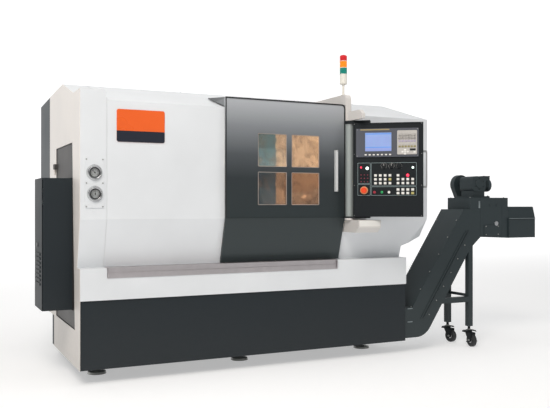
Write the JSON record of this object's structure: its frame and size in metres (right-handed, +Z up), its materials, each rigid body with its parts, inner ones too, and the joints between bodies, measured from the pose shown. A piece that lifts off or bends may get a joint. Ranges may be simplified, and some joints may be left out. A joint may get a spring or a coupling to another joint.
{
  "type": "cnc turning lathe",
  "caption": "Enclosed slant-bed turning lathe with a sliding front door, swivelling operator pendant, signal light and a hinged-belt chip conveyor on casters.",
  "frame": {"origin": "middle of the whole footprint, on the floor", "axes": "+X towards the chip discharge, along the spindle from headstock to tailstock; +Y from the front to the back; +Z up"},
  "size_m": [3.749, 1.956, 2.108],
  "materials": {
    "bare_cast_iron": "scraped and oiled",
    "beige_paint": "satin",
    "black_paint": "satin",
    "black_rubber": "matt",
    "cabinet_paint": "satin",
    "caster_tyre": "matt",
    "charcoal_paint": "satin, slightly worn",
    "dark_base_paint": "satin",
    "dark_door_paint": "satin",
    "gauge_steel": "polished",
    "green_plastic": "gloss",
    "grey_cast": "semi-gloss on casting",
    "handle_plastic": "fine grain",
    "knob_plastic": "semi-gloss",
    "lens_amber": "translucent ribbed",
    "lens_green": "translucent ribbed",
    "lens_red": "translucent ribbed",
    "machined_steel": "ground",
    "nameplate_enamel": "gloss",
    "panel_plastic": "fine grain",
    "red_plastic": "gloss",
    "stainless_sheet": "brushed",
    "track_aluminium": "extruded, satin",
    "warm_white_paint": "satin, fine orange peel",
    "white_paint": "satin, fine orange peel",
    "white_plastic": "gloss",
    "window_glass": "laminated, clear",
    "zinc_steel": "zinc plated"
  },
  "bodies": {
    "base": {"base_frame": "dark_base_paint", "leveling_feet": "zinc_steel", "front_skirt": "white_paint", "left_end_panel": "warm_white_paint", "left_pillar": "white_paint", "gauge_plate": "warm_white_paint", "pressure_gauges": "gauge_steel", "nameplate": "nameplate_enamel", "main_front_panel": "white_paint", "right_end_panel": "white_paint", "roof_panel": "white_paint", "cabinet_shell": "cabinet_paint", "door_track": "track_aluminium", "hood_column": "beige_paint", "pendant_post": "beige_paint", "slant_bed": "grey_cast", "headstock": "grey_cast", "spindle_motor": "black_paint", "drive_belt": "black_rubber", "chamber_liner": "stainless_sheet", "signal_pole": "zinc_steel", "signal_green": "lens_green", "signal_amber": "lens_amber", "signal_red": "lens_red", "conveyor_trough": "charcoal_paint", "conveyor_cover": "charcoal_paint", "conveyor_head": "charcoal_paint", "discharge_chute": "charcoal_paint", "hinged_belt": "machined_steel", "conveyor_gearmotor": "charcoal_paint", "conveyor_stand": "charcoal_paint"},
    "service_door": {"side_door": "cabinet_paint", "spindle_end_cover": "dark_base_paint"},
    "front_door": {"door_shell": "dark_door_paint", "window_panes": "window_glass", "door_handle": "handle_plastic"},
    "rear_door": {"cabinet_door": "cabinet_paint"},
    "spindle_group": {"spindle": "machined_steel", "chuck_body": "machined_steel"},
    "jaw_a": {"chuck_jaw_a": "machined_steel"},
    "jaw_b": {"chuck_jaw_b": "machined_steel"},
    "jaw_c": {"chuck_jaw_c": "machined_steel"},
    "motor_drive": {"motor_pulley": "machined_steel"},
    "saddle_body": {"saddle": "bare_cast_iron"},
    "cross_slide": {"turret_slide": "grey_cast"},
    "turret": {"turret_disc": "machined_steel"},
    "tailstock_body": {"tailstock": "grey_cast"},
    "quill_body": {"quill": "machined_steel"},
    "pendant": {"pendant_box": "black_paint", "control_unit": "panel_plastic"},
    "e_stop_button": {"e_stop": "red_plastic"},
    "start_button": {"cycle_start": "green_plastic"},
    "hold_button": {"feed_hold": "white_plastic"},
    "mode_knob": {"mode_dial": "knob_plastic"},
    "feed_knob": {"feed_dial": "knob_plastic"},
    "belt_drive": {"conveyor_shaft": "machined_steel"},
    "fork_near": {"caster_fork_near": "black_paint"},
    "fork_far": {"caster_fork_far": "black_paint"},
    "wheel_near": {"caster_wheel_near": "caster_tyre"},
    "wheel_far": {"caster_wheel_far": "caster_tyre"}
  },
  "joints": [
    {"name": "service_door_hinge", "type": "hinge", "parent": "base", "child": "service_door", "pos_m": [-1.6975, 0.26601, 0.87], "axis": [0, 0, -1], "range_deg": [0, 100]},
    {"name": "front_door_slide", "type": "slide", "parent": "base", "child": "front_door", "axis": [-1, 0, 0], "range_m": [0, 0.745]},
    {"name": "rear_door_hinge", "type": "hinge", "parent": "base", "child": "rear_door", "pos_m": [-0.1815, 0.95901, 1.06], "axis": [0, 0, -1], "range_deg": [0, 110]},
    {"name": "spindle_turn", "type": "hinge", "parent": "base", "child": "spindle_group", "pos_m": [-1.1885, -0.15999, 1.12], "axis": [1, 0, 0], "continuous": true},
    {"name": "jaw_a_slide", "type": "slide", "parent": "spindle_group", "child": "jaw_a", "axis": [0, 0, 1], "range_m": [-0.008, 0.008]},
    {"name": "jaw_b_slide", "type": "slide", "parent": "spindle_group", "child": "jaw_b", "axis": [0, -0.866, -0.5], "range_m": [-0.008, 0.008]},
    {"name": "jaw_c_slide", "type": "slide", "parent": "spindle_group", "child": "jaw_c", "axis": [0, 0.866, -0.5], "range_m": [-0.008, 0.008]},
    {"name": "motor_turn", "type": "hinge", "parent": "base", "child": "motor_drive", "pos_m": [-1.5285, -0.36499, 0.65], "axis": [1, 0, 0], "continuous": true},
    {"name": "saddle_slide", "type": "slide", "parent": "base", "child": "saddle_body", "axis": [-1, 0, 0], "range_m": [0, 0.25]},
    {"name": "cross_slide_travel", "type": "slide", "parent": "saddle_body", "child": "cross_slide", "axis": [0, -0.7071, -0.7071], "range_m": [0, 0.15]},
    {"name": "turret_index", "type": "hinge", "parent": "cross_slide", "child": "turret", "pos_m": [-0.3585, 0.08043, 1.36042], "axis": [1, 0, 0], "continuous": true},
    {"name": "tailstock_slide", "type": "slide", "parent": "base", "child": "tailstock_body", "axis": [-1, 0, 0], "range_m": [0, 0.35]},
    {"name": "quill_slide", "type": "slide", "parent": "tailstock_body", "child": "quill_body", "axis": [-1, 0, 0], "range_m": [0, 0.1]},
    {"name": "pendant_swivel", "type": "hinge", "parent": "base", "child": "pendant", "pos_m": [0.1195, -0.62999, 1.3], "axis": [0, 0, 1], "range_deg": [-30, 37]},
    {"name": "e_stop_press", "type": "slide", "parent": "pendant", "child": "e_stop_button", "axis": [0.6032, 0.7976, 0], "range_m": [0, 0.005], "stiffness_N_per_m": 800},
    {"name": "cycle_start_press", "type": "slide", "parent": "pendant", "child": "start_button", "axis": [0.6032, 0.7976, 0], "range_m": [0, 0.003], "stiffness_N_per_m": 300},
    {"name": "feed_hold_press", "type": "slide", "parent": "pendant", "child": "hold_button", "axis": [0.6032, 0.7976, 0], "range_m": [0, 0.003], "stiffness_N_per_m": 300},
    {"name": "mode_dial_turn", "type": "hinge", "parent": "pendant", "child": "mode_knob", "pos_m": [0.268, -0.82364, 1.329], "axis": [0.6032, 0.7976, 0], "range_deg": [-135, 135]},
    {"name": "feed_dial_turn", "type": "hinge", "parent": "pendant", "child": "feed_knob", "pos_m": [0.30788, -0.85381, 1.329], "axis": [0.6032, 0.7976, 0], "range_deg": [-135, 135]},
    {"name": "conveyor_drive", "type": "hinge", "parent": "base", "child": "belt_drive", "pos_m": [1.4765, -0.42999, 0.925], "axis": [0, 1, 0], "continuous": true},
    {"name": "caster_swivel_near", "type": "hinge", "parent": "base", "child": "fork_near", "pos_m": [1.2265, -0.54399, 0.12], "axis": [0, 0, 1], "continuous": true},
    {"name": "caster_roll_near", "type": "hinge", "parent": "fork_near", "child": "wheel_near", "pos_m": [1.22483, -0.57594, 0.048], "axis": [0.9986, -0.0523, 0], "continuous": true},
    {"name": "caster_swivel_far", "type": "hinge", "parent": "base", "child": "fork_far", "pos_m": [1.2045, -0.31899, 0.12], "axis": [0, 0, 1], "continuous": true},
    {"name": "caster_roll_far", "type": "hinge", "parent": "fork_far", "child": "wheel_far", "pos_m": [1.21061, -0.3504, 0.048], "axis": [0.9816, 0.1908, 0], "continuous": true}
  ],
  "couplings": [
    {"joint": "motor_turn", "follows": "spindle_turn", "ratio": 1.5},
    {"joint": "jaw_b_slide", "follows": "jaw_a_slide", "ratio": 1},
    {"joint": "jaw_c_slide", "follows": "jaw_a_slide", "ratio": 1}
  ]
}
